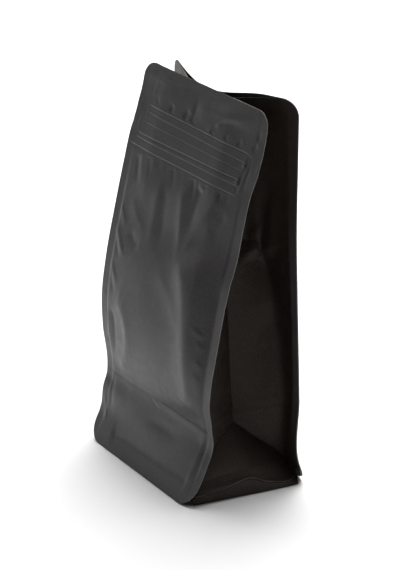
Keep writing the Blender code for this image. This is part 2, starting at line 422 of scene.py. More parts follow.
class Nodes:
    """A material's node tree, with a short way to add and join nodes."""

    def __init__(self, name: str) -> None:
        """Start a material with one Principled shader.

        Args:
            name: the material's name.
        """
        self.material = bpy.data.materials.new(name)
        self.material.use_nodes = True
        self.tree = self.material.node_tree
        self.shader = self.tree.nodes["Principled BSDF"]

    def add(self, kind: str, inputs: dict | None = None, **settings) -> bpy.types.Node:
        """Add a node.

        Args:
            kind: the node's type name.
            inputs: socket names with a value, or the socket to join to each.
            settings: the node's own properties.

        Returns:
            The new node.
        """
        node = self.tree.nodes.new(kind)
        for key, value in settings.items():
            setattr(node, key, value)
        self.set(node, inputs or {})
        return node

    def set(self, node: bpy.types.Node, inputs: dict) -> None:
        """Set or join a node's inputs.

        Args:
            node: the node.
            inputs: socket names with a value, or the socket to join to each.
        """
        for key, value in inputs.items():
            if isinstance(value, bpy.types.NodeSocket):
                self.tree.links.new(value, node.inputs[key])
            else:
                node.inputs[key].default_value = value

    def noise(self, scale: float, detail: float = 3.0, rough: float = 0.55) -> bpy.types.NodeSocket:
        """The value of a noise in object space.

        Args:
            scale: how fine it is, as features in a metre.
            detail: how many finer layers it has.
            rough: how strong the finer layers are.

        Returns:
            The noise's value.
        """
        place = self.add("ShaderNodeTexCoord").outputs["Object"]
        return self.add("ShaderNodeTexNoise", {"Vector": place, "Scale": scale, "Detail": detail,
                                               "Roughness": rough}).outputs["Fac"]

    def between(self, value: bpy.types.NodeSocket, low: float, high: float,
                start: float = 0.3, end: float = 0.7) -> bpy.types.NodeSocket:
        """A value spread over the range from low to high."""
        return self.add("ShaderNodeMapRange", {"Value": value, "From Min": start, "From Max": end,
                                               "To Min": low, "To Max": high}).outputs["Result"]

    def mix(self, share: bpy.types.NodeSocket, low: tuple | bpy.types.NodeSocket,
            high: tuple) -> bpy.types.NodeSocket:
        """The colour that lies a share of the way between two."""
        return self.add("ShaderNodeMix", {0: share, 6: low, 7: high}, data_type="RGBA").outputs[2]

    def combine(self, operation: str, value: bpy.types.NodeSocket,
                other: float | bpy.types.NodeSocket) -> bpy.types.NodeSocket:
        """Two values joined by an operation, such as ADD."""
        return self.add("ShaderNodeMath", {0: value, 1: other}, operation=operation).outputs[0]


@dataclass(frozen=True)
class FilmFinish:
    """Matt laminate film: a dark even colour, fine flecks, faint clouding and its own tone in seals,
    which on the gussets is a painted pale sheen.

    grain, cloud and scuff are how fine each pattern is, and the depths are in millimetres. fleck is
    how much lighter than pale the flecks are. rubbed and scuffed are how far the roughness goes
    below and above its middle, and seal_gloss is what a seal takes off it.
    """

    name: str
    colour: tuple
    pale: tuple
    # colour in the seals; on the gussets it is a painted pale sheen
    sealed: tuple
    roughness: float
    specular: float
    tint: tuple
    fleck: float = 2.5
    fleck_share: float = 0.6
    grain: float = 1500.0
    grain_depth: float = 0.035
    grain_strength: float = 0.5
    cloud: float = 28.0
    scuff: float = 190.0
    scuff_depth: float = 0.25
    scuff_strength: float = 0.12
    rubbed: float = 0.04
    scuffed: float = 0.05
    seal_gloss: float = 0.05

    def make(self) -> bpy.types.Material:
        """Build the material.

        Returns:
            The film's material.
        """
        nodes = Nodes(self.name)
        speckle = nodes.noise(self.grain, 2.0, 0.6)
        cloud = nodes.noise(self.cloud, 4.0, 0.6)
        scuff = nodes.noise(self.scuff, 5.0, 0.65)
        seal = nodes.add("ShaderNodeAttribute", attribute_name="seal").outputs["Fac"]
        tone = nodes.mix(nodes.between(cloud, 0.0, 1.0), self.colour, self.pale)
        # the seals' tone, which on the gussets is a painted sheen
        pressed = nodes.mix(seal, tone, self.sealed)
        flecked = nodes.mix(nodes.between(speckle, 0.0, self.fleck_share, 0.5, 0.72), pressed,
                            shade(self.pale, self.fleck))
        worn = nodes.between(scuff, self.roughness - self.rubbed, self.roughness + self.scuffed)
        rough = nodes.combine("ADD", worn, nodes.combine("MULTIPLY", seal, -self.seal_gloss))
        scuffs = nodes.add("ShaderNodeBump", {"Height": scuff, "Strength": self.scuff_strength,
                                              "Distance": self.scuff_depth * MM})
        bump = nodes.add("ShaderNodeBump", {"Height": speckle, "Strength": self.grain_strength,
                                            "Distance": self.grain_depth * MM,
                                            "Normal": scuffs.outputs["Normal"]})
        nodes.set(nodes.shader, {"Base Color": flecked, "Roughness": rough,
                                 "Specular IOR Level": self.specular,
                                 "Specular Tint": self.tint,
                                 "Normal": bump.outputs["Normal"]})
        return nodes.material


@dataclass(frozen=True)
class CutEdgeFinish:
    """The cut edge of the laminate, paler than its faces, partly its own layers and partly a painted
    highlight where the edge catches light, with its layers as a fine mottle.
    """

    name: str = "film_cut_edge"
    # pale enough to paint the light line along the films' edges
    colour: tuple = (0.2, 0.19, 0.18, 1)
    layer_shade: float = 0.6
    layers: float = 900.0
    roughness: float = 0.45

    def make(self) -> bpy.types.Material:
        """Build the material.

        Returns:
            The cut edge's material.
        """
        nodes = Nodes(self.name)
        layers = nodes.between(nodes.noise(self.layers), 0.0, 1.0)
        tone = nodes.mix(layers, self.colour, shade(self.colour, self.layer_shade))
        nodes.set(nodes.shader, {"Base Color": tone, "Roughness": self.roughness})
        return nodes.material


@dataclass(frozen=True)
class StripFinish:
    """The milky plastic of the zip strip, slightly uneven in tone and gloss."""

    name: str = "zip_plastic"
    colour: tuple = (0.60, 0.60, 0.57, 1)
    haze_shade: float = 0.85
    haze: float = 240.0
    haze_depth: float = 0.1
    haze_strength: float = 0.2
    roughness: tuple = (0.32, 0.42)

    def make(self) -> bpy.types.Material:
        """Build the material.

        Returns:
            The strip's material.
        """
        nodes = Nodes(self.name)
        haze = nodes.noise(self.haze)
        tone = nodes.mix(nodes.between(haze, 0.0, 1.0), self.colour,
                         shade(self.colour, self.haze_shade))
        bump = nodes.add("ShaderNodeBump", {"Height": haze, "Strength": self.haze_strength,
                                            "Distance": self.haze_depth * MM})
        nodes.set(nodes.shader, {"Base Color": tone,
                                 "Roughness": nodes.between(haze, *self.roughness),
                                 "Normal": bump.outputs["Normal"]})
        return nodes.material


@dataclass(frozen=True)
class FloorFinish:
    """Plain pale paper."""

    name: str = "floor_paper"
    colour: tuple = (0.9, 0.9, 0.9, 1)
    roughness: float = 0.9
    specular: float = 0.1

    def make(self) -> bpy.types.Material:
        """Build the material.

        Returns:
            The floor's material.
        """
        nodes = Nodes(self.name)
        nodes.set(nodes.shader, {"Base Color": self.colour, "Roughness": self.roughness,
                                 "Specular IOR Level": self.specular})
        return nodes.material


# --- films as meshes ----------------------------------------------------------------------------


@dataclass
class Film:
    """One film as a mesh: a grid through rows of points, thickened, in its finish.

    seal is how far each point is pressed flat in a seal, from 0 to 1, and on the gussets also how
    strong the painted sheen there is. creases are grid cells, as (row, column, rising), that a fold
    crosses from corner to corner.
    """

    name: str
    points: np.ndarray
    growth: Growth
    materials: tuple
    seal: np.ndarray
    creases: tuple = ()
    thickness: float = FILM
    crease_angle: float = 50.0

    def flat(self) -> bpy.types.Mesh:
        """One face of the film, with its seals as an attribute.

        Returns:
            The mesh, without thickness.
        """
        rows, columns = self.points.shape[:2]
        mesh = bmesh.new()
        bmesh.ops.create_grid(mesh, x_segments=columns - 1, y_segments=rows - 1, size=0.5)
        sealed = mesh.verts.layers.float.new("seal")
        grid = {}
        for vert in mesh.verts:
            column = round((vert.co.x + 0.5) * (columns - 1))
            row = round((vert.co.y + 0.5) * (rows - 1))
            grid[row, column] = vert
            vert.co = Vector(self.points[row, column] * MM)
            vert[sealed] = self.seal[row, column]
        for row, column, rising in self.creases:
            low, high = (column, column + 1) if rising else (column + 1, column)
            bmesh.ops.connect_verts(mesh, verts=[grid[row, low], grid[row + 1, high]])
        flat = bpy.data.meshes.new(self.name + "_flat")
        mesh.to_mesh(flat)
        mesh.free()
        for material in self.materials:
            flat.materials.append(material)
        return flat

    def solid(self) -> bpy.types.Mesh:
        """The film with its thickness, its cut edge in the last material.

        Returns:
            The closed mesh, smooth but for its creases.
        """
        made = bpy.data.objects.new(self.name + "_flat", self.flat())
        bpy.context.scene.collection.objects.link(made)
        wall = made.modifiers.new("wall", "SOLIDIFY")
        wall.thickness = self.thickness * MM
        wall.offset = self.growth.value
        wall.material_offset_rim = len(self.materials) - 1
        graph = bpy.context.evaluated_depsgraph_get()
        solid = bpy.data.meshes.new_from_object(made.evaluated_get(graph))
        bpy.data.objects.remove(made)
        solid.shade_smooth()
        solid.set_sharp_from_angle(angle=np.radians(self.crease_angle))
        return solid

    def build(self, slot: str) -> bpy.types.Object:
        """Make the piece, standing for the CAD node of its name.

        Args:
            slot: not used.

        Returns:
            The finished object.
        """
        piece = bpy.data.objects.new(self.name + "_film", self.solid())
        bpy.context.scene.collection.objects.link(piece)
        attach(piece, "root")
        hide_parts(self.name)
        LOG.info("%s: %d faces", piece.name, len(piece.data.polygons))
        return piece


def spaced(*stretches: tuple) -> np.ndarray:
    """Positions along a line that is laid out in stretches.

    Args:
        stretches: each one's start, end and about how far its positions stand apart.

    Returns:
        The positions, with the ends of the stretches among them.
    """
    parts = [np.linspace(start, end, round((end - start) / step) + 1)[:-1]
             for start, end, step in stretches]
    return np.concatenate([*parts, [stretches[-1][1]]])


def quarter(radius: float, steps: int) -> np.ndarray:
    """Heights from the start of a quarter round to its end, at equal angles."""
    return radius * np.sin(np.linspace(0, np.pi / 2, steps + 1))


@dataclass
class Pouch:
    """Where the two panels stand: each upright edge's depth by film length, and its drop."""

    front_left: tuple = ((0, -45), (23, -35.2), (37, -33.6), (47, -30.8), (54, -30.6), (80, -34),
                         (105, -34.7), (129, -31.9), (168, -24.4), (197, -18), (217, -13.3),
                         (232, -8.6), (245, -5.2), (265, -1.9))
    front_right: tuple = ((0, -45), (27, -32.7), (46, -27.2), (54, -28.4), (77, -29.2),
                          (110, -24.2), (149, -16.9), (168, -11.6), (188, -8), (212, -2.6),
                          (227, 2.6), (245, 6.8), (265, 10))
    back_left: tuple = ((0, 45), (15, 38.5), (62, 38), (110, 36), (150, 32), (190, 26.5),
                        (225, 21.5), (265, 18.6))
    back_right: tuple = ((0, 45), (15, 38.2), (62, 36.5), (133, 33.3), (173, 31.6), (220, 31.2),
                         (265, 31))
    front_drop: tuple = (1.4, 1.3)
    back_drop: tuple = (6.0, 2.0)
    back_bow: float = 13.5
    back_sag: float = 7.0

    def front(self) -> Sheet:
        """The front panel's outer face."""
        return Sheet(Face.FRONT, Edge(self.front_left, self.front_drop[0]),
                     Edge(self.front_right, self.front_drop[1]), front_relief())

    def back(self) -> Sheet:
        """The back panel's outer face."""
        return Sheet(Face.BACK, Edge(self.back_left, self.back_drop[0]),
                     Edge(self.back_right, self.back_drop[1]), back_relief(),
                     bow=self.back_bow, sag=self.back_sag)


def zip_ribs(height: float = 0.3) -> list:
    """The zip's ribs pressed through a panel: thin grooves, each under a fine raised line.

    Args:
        height: the depth of a groove whose share is 1.

    Returns:
        The folds.
    """
    end, line_above = 54.5, 1.1
    grooves = ((236.9, 235.3, -54, 0.9), (235.0, 233.3, -54, 0.3), (232.0, 228.9, -54, 0.7),
               (225.2, 223.2, -55, 0.7), (223.6, 221.6, -55, 0.25),
               (217.2, 217.3, -59, 1.3), (214.2, 213.3, -60, 0.8), (208.8, 207.3, -65, 0.9))
    ribs = []
    for left, right, start, share in grooves:
        ribs.append(Fold(((start, left), (end, right)), -height * share, 0.55, crest=0.25,
                         fade=(0.02, 0.02)))
        ribs.append(Fold(((start, left + line_above), (end, right + line_above)),
                         0.6 * height * share, 0.4, crest=0.2, fade=(0.02, 0.02)))
    ribs.append(Fold(((-59, 218.4), (-40, 216.2), (-22, 217.6)), 0.5 * height, 0.4, crest=0.2,
                     fade=(0.1, 0.3)))
    ribs.append(Fold(((-58, 241), (-56.5, 225), (-60, 209)), -0.5 * height, 0.6, crest=0.3,
                     fade=(0.1, 0.1)))
    return ribs


def puckers_above() -> list:
    """Folds that rise from the zip's top rib to the top edge."""
    return [
        Fold(((-51.5, 244), (-47.9, 263)), 0.2, 0.5, crest=0.3, fade=(0.1, 0.1)),
        Fold(((-47.5, 241.5), (-44, 243.5)), -0.45, 0.8, 1.0, crest=0.4),
        Fold(((-30.2, 238), (-28.4, 245)), -0.65, 0.8, 1.8, crest=0.4),
        Fold(((-15.8, 237.8), (-11.6, 246)), -0.8, 0.9, 2.4, crest=0.4),
        Fold(((-7.8, 238), (-5.5, 246), (-4.2, 260)), -0.75, 1.4, 4.2, crest=0.8,
             fade=(0.1, 0.6)),
        Fold(((2, 240), (4, 250), (2, 262)), 0.3, 4, 5, crest=2.5),
        Fold(((12.6, 237.6), (16, 243), (21, 247.6), (29.6, 251.6), (42, 254)),
             0.38, 1.6, 1.1, crest=0.6, fade=(0.08, 0.5)),
        Fold(((14.3, 238), (17.4, 242), (22, 245.4)), -0.75, 0.8, 2.4, crest=0.5,
             fade=(0.1, 0.5)),
        Dent((33, 247.6), (12, 4.4), -0.85, 5),
        Fold(((30.2, 237.5), (31.8, 242)), -0.5, 0.8, 1.4, crest=0.4),
        Fold(((42.6, 237.3), (45.6, 242)), -0.6, 0.8, 1.4, crest=0.4),
        Fold(((57.2, 238.6), (60.4, 243.6)), -0.5, 0.8, 1.3, crest=0.4),
        Dent((61, 248.7), (1.6, 2.4), -0.35),
        Fold(((-36, 243), (-24, 251), (-16, 262)), 0.25, 4, 4, crest=2.5),
    ]


def puckers_below() -> list:
    """Folds that run down from the zip's lower edge, and the drapes that they open into.

    Returns:
        The folds.
    """
    short = (0.06, 0.6)
    return [
        Fold(((-47.4, 207), (-44.5, 196), (-41.4, 182)), 0.28, 1.8, 2.4, crest=1, fade=short),
        Fold(((-52, 205), (-49.5, 196), (-47, 184)), -0.4, 2.5, 1.8, crest=1, fade=(0.2, 0.4)),
        Fold(((-38, 206.6), (-36, 199), (-33.6, 188)), -0.26, 2.0, 2.4, crest=0.8, fade=short),
        Fold(((-33.0, 206.6), (-29.8, 199)), 0.14, 1.0, 1.4, crest=0.5, fade=short),
        Fold(((-27.4, 206.6), (-23.8, 199)), -0.21, 0.8, 1.8, crest=0.4, fade=short),
        Fold(((-19, 206.4), (-16.4, 200)), -0.17, 0.8, 1.6, crest=0.4, fade=short),
        Fold(((-11, 206.4), (-9, 199), (-7, 190)), -0.37, 0.9, 2.4, crest=0.5, fade=short),
        Fold(((-2.5, 206.2), (-1, 200)), -0.15, 0.8, 1.4, crest=0.4, fade=short),
        Fold(((11.8, 206.2), (13, 199), (15, 190)), -0.5, 1.0, 2.2, crest=0.5, fade=short),
        Fold(((17, 206.2), (18.8, 200.5), (21, 195)), -0.31, 0.8, 1.6, crest=0.4, fade=short),
        Fold(((25, 206), (26.2, 202), (27.4, 198)), -0.31, 0.8, 1.6, crest=0.4, fade=short),
        Fold(((33, 206), (34.4, 200)), -0.16, 0.8, 1.4, crest=0.4, fade=short),
        Fold(((40.6, 206), (41.4, 198)), -0.31, 0.8, 1.8, crest=0.4, fade=short),
        Fold(((46.8, 206), (48.6, 200)), -0.25, 0.8, 1.5, crest=0.4, fade=short),
        Fold(((-19, 201), (-20.2, 188), (-21.6, 170), (-21.4, 146)), 0.75, 4.2, 3.6, crest=3,
             fade=(0.3, 0.45)),
        Fold(((-14.5, 198), (-12.6, 175), (-9, 146)), -0.7, 3.4, 4, crest=3, fade=(0.25, 0.45)),
        Fold(((3.6, 203), (6, 185), (11.7, 158), (13, 146)), 1.0, 5, 3.4, crest=2.6,
             fade=(0.2, 0.4)),
        Fold(((21.5, 204), (18.6, 186), (15.5, 168)), -0.95, 3.0, 5, crest=2.2,
             fade=(0.12, 0.45)),
        Fold(((41, 205), (31, 187), (20, 166), (15, 154)), 0.8, 4.0, 5.0, crest=2.4,
             fade=(0.1, 0.3)),
        Fold(((-45.3, 156.1), (-38, 150), (-30.1, 146)), -0.55, 3, 4, crest=2),
        Fold(((-50, 178), (-40, 166), (-26, 158)), 0.45, 4, 4, crest=2.5),
        Fold(((50, 196), (44, 184), (38, 176)), -0.5, 2.5, 3, crest=1.2),
    ]


def belly() -> list:
    """The broad turns of the front panel down to its lower crease, and the right seal's pleats."""
    return [
        Fold(((15, 166), (22, 153), (31, 136), (39, 110), (44, 84), (49, 56)), 3.4, 20, 9,
             crest=6, fade=(0.2, 0.12)),
        Fold(((-40, 262), (-37, 205), (-32, 160)), 2.0, 44, 11, crest=6, fade=(0.05, 0.35)),
        Fold(((26, 262), (32, 200), (38, 140), (44, 70)), 2.2, 15, 40, crest=5,
             fade=(0.05, 0.2)),
        Fold(((-8, 147), (2, 137), (16.1, 126.3), (31.3, 106.9)), 0.5, 5, 6, crest=3),
        Fold(((57, 160), (60, 120), (60.5, 90), (60, 62)), -1.0, 7, 4, crest=2.4,
             fade=(0.2, 0.2)),
        Fold(((44, 117.5), (49, 116), (55.5, 114)), 0.34, 1.4, 1.8, crest=0.5),
        Fold(((49, 111), (53, 108), (57, 105.5)), 0.28, 1.2, 1.6, crest=0.5),
        Fold(((51, 98), (54, 96), (58.5, 94)), 0.34, 1.3, 1.6, crest=0.5),
        Fold(((50, 89), (53.6, 86.5), (58, 84)), 0.3, 1.3, 1.6, crest=0.5),
        Fold(((42, 64), (48, 71), (55, 82)), -0.5, 3, 3, crest=1.5),
        Dent((-12, 105), (26, 34), 1.4, 12),
    ]


def left_pleats() -> list:
    """Folds that run in from the left side seal, and the dimple under them."""
    return [
        Fold(((-60, 170), (-56.7, 164.6), (-50, 156)), 0.38, 1.1, 2.0, crest=0.6),
        Fold(((-60, 156), (-55, 147.5), (-45, 135)), 0.5, 1.3, 2.6, crest=0.7),
        Fold(((-60, 150), (-56, 141), (-50, 132)), -0.4, 1.4, 1.8, crest=0.8),
        Fold(((-60, 131), (-56, 125), (-48.5, 116)), 0.45, 1.1, 2.2, crest=0.7),
        Fold(((-59, 122), (-54, 114), (-50, 108)), -0.35, 1.3, 1.6, crest=0.8),
        Fold(((-54, 104), (-45, 104.5), (-37, 101), (-31.5, 92.0), (-31, 80.4),
              (-38, 66.8), (-52, 54.5)), 1.45, 8.0, 5.0, crest=3.5, fade=(0.25, 0.2)),
        Fold(((-56, 100), (-52, 91), (-51, 80), (-54, 64)), -1.2, 2.4, 3.6, crest=1.6,
             fade=(0.2, 0.3)),
        Fold(((-62, 96), (-60, 84), (-60.5, 72)), 0.3, 1.2, 1.2, crest=0.6),
        Dent((-64, 105), (2.2, 2.6), 0.3),
    ]


def lower_creases() -> list:
    """The crease across the front panel above its foot, and the folds below it."""
    return [
        Fold(((-66, 50.2), (-36.7, 50.8), (1.4, 52.2), (34.6, 52.4), (63, 51.8)), -0.26, 2.4, 0.7,
             crest=0.3, fade=(0.03, 0.02)),
        Fold(((-4, 52), (14, 52.3), (40, 52.4), (63, 51.6)), -0.5, 2.4, 0.6, crest=0.25,
             fade=(0.25, 0.02)),
        Fold(((-40, 47.6), (0, 49), (34.6, 49.4), (62, 49)), 0.16, 1.2, 4.5, crest=0.6,
             fade=(0.1, 0.02)),
        Fold(((-6, 51.5), (-2, 49.6), (4, 48)), 0.22, 0.8, 1.0, crest=0.4),
        Fold(((-8, 50), (-3, 48.2), (3, 46.8)), -0.2, 0.8, 1.0, crest=0.4),
        Fold(((-57, 49), (-56, 37), (-53.6, 24)), -0.6, 2.0, 2.6, crest=1.2),
        Fold(((-65.4, 36), (-62, 27), (-54.5, 14.5)), 0.4, 1.0, 1.8, crest=0.6),
        Dent((12, 36.4), (13, 3.2), -0.35, 4),
        Dent((14, 41.5), (12, 3), 0.18, 4),
        Dent((-42, 14), (22, 9), 0.7),
        Dent((44, 38), (18, 10), 0.9),
        Fold(((-44, 9.4), (-38.5, 10.6), (0, 11.9), (55.5, 14)), -0.9, 4.2, 3.4, crest=1.8,
             fade=(0.06, 0.06)),
        Fold(((57.6, 51), (55.8, 34), (53.2, 15)), 0.22, 1.0, 1.3, crest=0.5, fade=(0.1, 0.2)),
        Fold(((63.2, 51), (62.9, 34), (62, 13)), 0.22, 0.6, 0.7, crest=0.3, fade=(0.1, 0.2)),
        Fold(((60.6, 50), (59.4, 34), (58, 15)), -0.3, 0.8, 0.8, crest=0.4, fade=(0.1, 0.2)),
    ]


def front_relief() -> list:
    """All the relief of the front panel."""
    return [
        *zip_ribs(), *puckers_above(), *puckers_below(), *belly(), *left_pleats(),
        *lower_creases(),
        Swell(((0, 0), (12, 0.5), (24, 1.6), (36, 0.9), (45, 0.9), (51, 0.2), (62, 1.3),
               (80, 2.1), (120, 2.4), (180, 1.0), (205, 0.2), (265, 0)), 6.0),
        FinStep(Side.LEFT, ((0, 0.05), (20, 0.3), (100, 0.6), (180, 0.4), (207, 0.1), (265, 0.1)),
                2.2),
        FinStep(Side.RIGHT, ((0, 0.1), (20, 0.3), (100, 0.28), (180, 0.26), (207, 0.2), (235, 0.2),
                             (265, 0.1)), 2.2),
        Dent((53.6, 227.7), (1.4, 2.0), 0.7), Dent((52.2, 216.5), (1.4, 2.2), 0.8),
        Fold(((56.4, 236), (54.6, 222), (52.8, 208)), -0.4, 0.9, 1.5, crest=0.4,
             fade=(0.1, 0.1)),
        Fold(((-61.6, 240.5), (-62.8, 236), (-62.4, 231)), 0.3, 0.6, 0.8, crest=0.3),
        Fold(((-61.4, 228), (-62.4, 224), (-61.6, 220)), -0.3, 0.6, 0.8, crest=0.3),
        Dent((58.4, 223), (1.2, 12), -0.5),
        Dent((66.4, 229), (1.4, 3.4), 0.5), Dent((-66.4, 237), (1.6, 4), 0.4),
        Dent((-66.6, 223), (1.2, 2.6), -0.4),
        *crumples(5, 60, (-58, 58, 14, 204), 0.09, (8, 30)),
    ]


def back_relief() -> list:
    """All the relief of the back panel."""
    return [
        *zip_ribs(0.2),
        Swell(((0, 0), (15, 0.6), (60, 2.0), (140, 2.2), (205, 0.4), (265, 0))),
        FinStep(Side.LEFT, ((0, 0.1), (30, 0.6), (200, 0.6), (265, 0.1))),
        FinStep(Side.RIGHT, ((0, 0.1), (30, 0.6), (200, 0.6), (265, 0.1))),
        Fold(((-44, 9.4), (0, 11.4), (44, 9.4)), -1.1, 4, 3.4, crest=1.8, fade=(0.06, 0.06)),
        Fold(((-62, 52), (0, 50.5), (62, 51)), -0.6, 2.4, 1.6, crest=0.5, fade=(0.04, 0.04)),
        Fold(((-30, 206), (-26, 190), (-28, 160)), -1.0, 2.5, 3.5, crest=1.2, fade=(0.1, 0.5)),
        Fold(((-8, 206), (-4, 186), (2, 150)), 1.0, 3.5, 3.5, crest=1.6, fade=(0.1, 0.5)),
        Fold(((18, 206), (16, 190), (8, 164)), -1.1, 2.5, 3.8, crest=1.2, fade=(0.1, 0.5)),
        Fold(((36, 206), (30, 186), (24, 150)), 0.9, 3, 4.5, crest=1.6, fade=(0.1, 0.5)),
        Fold(((-50, 150), (-20, 128), (20, 112)), 1.0, 6, 6, crest=3),
        Fold(((58, 110), (50, 96), (46, 80)), 0.7, 2, 2.6, crest=0.8),
        Fold(((-58, 92), (-50, 84), (-38, 80)), 0.7, 2, 2.6, crest=0.8),
        *crumples(9, 70, (-58, 58, 14, 204), 0.16, (8, 32)),
    ]


@dataclass
class Panels:
    """The front and back panels as films.

    crease is the film lengths where the rows draw closer, where they are finest and where they part
    again, at the crease above the foot. zip_band is the stretch with the zip's ribs. side_edge and
    foot_edge are how far the inner edges of the seals fade.
    """

    sheets: dict
    columns: int = 138
    corner_steps: int = 12
    crease: tuple = (46.0, 50.0, 54.0)
    crease_steps: tuple = (0.8, 0.3)
    zip_band: tuple = (204.0, 240.0)
    side_edge: float = 1.2
    foot_edge: float = 1.5

    def lengths(self, zip_step: float, step: float) -> np.ndarray:
        """Film lengths of the grid's rows, close together at the corners, crease and zip.

        Args:
            zip_step: how far the zip's rows stand apart.
            step: how far the plain film's rows stand apart.

        Returns:
            Film lengths, from the foot to the top edge.
        """
        top_start = LENGTH - TOP_CORNER
        foot = FOOT_CORNER - quarter(FOOT_CORNER, self.corner_steps)[::-1]
        top = top_start + quarter(TOP_CORNER, self.corner_steps)
        start, finest, end = self.crease
        zip_start, zip_end = self.zip_band
        middle = spaced((FOOT_CORNER, start, step), (start, finest, self.crease_steps[0]),
                        (finest, end, self.crease_steps[1]), (end, zip_start, step),
                        (zip_start, zip_end, zip_step), (zip_end, top_start, step))
        return np.concatenate((foot[:-1], middle, top[1:]))

    def build(self, materials: tuple) -> None:
        """Make both panels.

        Args:
            materials: the film's and its cut edge's.
        """
        for face, growth, zip_step, step in ((Face.FRONT, Growth.AGAINST, 0.3, 1.15),
                                             (Face.BACK, Growth.ALONG, 0.6, 1.3)):
            share, s = np.meshgrid(np.linspace(-1, 1, self.columns + 1),
                                   self.lengths(zip_step, step))
            x = share * half_width(s)
            seal = np.maximum(eased((np.abs(x) - SEAL_LINE) / self.side_edge + 0.5),
                              eased((BASE_SEAL - s) / self.foot_edge + 0.5))
            points = self.sheets[face].point(x, s, exact=True)
            name = face.name.lower() + "_panel"
            Film(name, points, growth, materials, seal).build("panel_film")


@dataclass
class Gusset:
    """A side gusset: folded film with a flat triangle and a flared fin at its lower end.

    hinge, fin_edge and fold_end are (x, y, z) places of the right gusset. hinge_end and edge_end
    are the places across the back panel where the hinge and the free edge reach it. fold gives the
    centre fold by film length: its x, its share of the way from the front panel to the back one,
    and its drop. bend gives the place across where the rear half leaves the back panel, and
    bend_rounding how often that bend is smoothed. The fades are how far the film's relief takes to
    die out. upper_sheen_fade and lower_sheen_fade are where the painted pale sheen on the seals
    starts to change, over how much film length, and by what share or down to what share.
    """

    side: Side
    sheets: dict
    hinge: tuple = ((60.6, -29.6, 13.6), (61.8, -14, 16), (62, 1, 16.6), (58.6, 14.5, 14.4),
                    (54.8, 29, 12.2))
    hinge_end: float = 50.0
    fin_edge: tuple = ((65, -34, 6.8), (66.2, -18, 8.8), (66.4, 1, 12.4), (66.4, 15, 7),
                       (65.4, 30, 4))
    edge_end: float = SEAL_LINE
    edge_start: float = 4.2         # film length at which the free edge leaves the seal on the front
    fin_start: float = 8.0          # film length at the fin's first row
    fin_sag: float = 3.0            # of the fin between its two edges
    fold_end: tuple = (34, 7, 38.6)
    fold: tuple = ((45, 34, 0.55, 4.9), (62, 31.3, 0.56, 4.5), (92, 28.5, 0.575, 4),
                   (123, 25.3, 0.57, 3.5), (147, 24, 0.6, 1.5), (163, 20, 0.8, 2),
                   (209, 21, 0.6, 2), (265, 22, 0.5, 2))
    bend: tuple = ((11, 50), (57, 49), (74, 45.6), (89, 42), (120, 35.7), (147, 27), (163, 30),
                   (209, 45), (265, 59))
    bend_rounding: tuple = ((11, 0), (20, 4), (45, 22), (125, 24), (140, 5), (170, 5), (200, 20),
                            (265, 20))
    steps: int = 34                 # columns of each half
    seal_steps: int = 5
    fin_steps: int = 7
    top_steps: int = 10
    row_step: float = 1.2           # film length from one folded row to the next
    row_meeting: float = 200.0      # where two evenly spaced runs of those rows meet
    fold_blend: float = 40.0        # film length over which the columns draw in to the centre fold
    most_blend: float = 0.8         # how far they draw in, in columns
    fold_depth: float = 1.1         # least depth of the centre fold behind a panel, without its radius
    radius: float = 1.2             # of the centre fold
    room: float = 0.12              # kept between the film and a panel's inner side
    room_rise: float = 4.0          # how fast that room opens, away from the seal
    inset: float = 0.15             # of the film's side edge from the panel's
    least_seal: float = 2.0         # width of a seal at the rounded corners
    least_flush: float = 0.3        # width flush on the back panel before the bend
    foot_fade: float = 8.0
    top_fade: float = 20.0
    seam_fade: float = 8.0
    fold_fade: float = 4.0
    seam_margin: float = 1.0        # plain film beside a seal
    seal_edge: float = 1.2          # width over which a seal's tone and its painted sheen end
    seal_start: float = 6.0         # film length over which that tone and its painted sheen come in above the base
    # the seals' pale tone is a painted sheen, faded high up and low down by these two
    upper_sheen_fade: tuple = (130.0, 80.0, 0.8)
    lower_sheen_fade: tuple = (20.0, 50.0, 0.2)

    def mirrored(self, places: tuple) -> np.ndarray:
        """Places of the right gusset, moved to this gusset's side."""
        return np.array(places, float) * (self.side.value, 1, 1)

    def seal_columns(self, face: Face, s: float) -> np.ndarray:
        """Points across a seal against a panel, from its outer edge inwards.

        Args:
            face: the panel.
            s: the film length.

        Returns:
            The points, as (seal_steps, 3).
        """
        edge = float(half_width(s)) - self.inset
        across = np.linspace(edge, min(SEAL_LINE, edge - self.least_seal), self.seal_steps + 1)
        return self.sheets[face].point(self.side.value * across[:-1], s, LAYER)

    def seal_end(self, s: float) -> float:
        """How far from the middle a seal ends, at a film length."""
        return min(SEAL_LINE, float(half_width(s)) - self.least_seal)

    def seal_point(self, face: Face, s: float) -> np.ndarray:
        """The point on a panel where its seal ends, at a film length."""
        return self.sheets[face].point(self.side.value * self.seal_end(s), s, LAYER)

    def clear_of(self, face: Face, points: np.ndarray, s: float, shares: np.ndarray) -> np.ndarray:
        """The points, moved off a panel's inner side where they are too near it.

        Args:
            face: the panel.
            points: points of one row.
            s: the row's film length.
            shares: how far along the row each point is, from 0 at the seal, where no room is left.

        Returns:
            The moved points.
        """
        room = self.room * np.clip(self.room_rise * shares, 0, 1)
        limit = self.sheets[face].point(points[:, 0], s, LAYER)[:, 1] - face.value * room
        clamp = np.maximum if face is Face.FRONT else np.minimum
        points = points.copy()
        points[:, 1] = clamp(points[:, 1], limit)
        return points

    def front_wall(self, s: float, inner: np.ndarray, shares: np.ndarray) -> np.ndarray:
        """Points of the front half, from its seal line to an inner point.

        Args:
            s: the film length.
            inner: the point where the half ends.
            shares: how far along each point is.

        Returns:
            The points.
        """
        start = self.seal_point(Face.FRONT, s)
        return self.clear_of(Face.FRONT, start + (inner - start) * shares[:, None], s, shares)

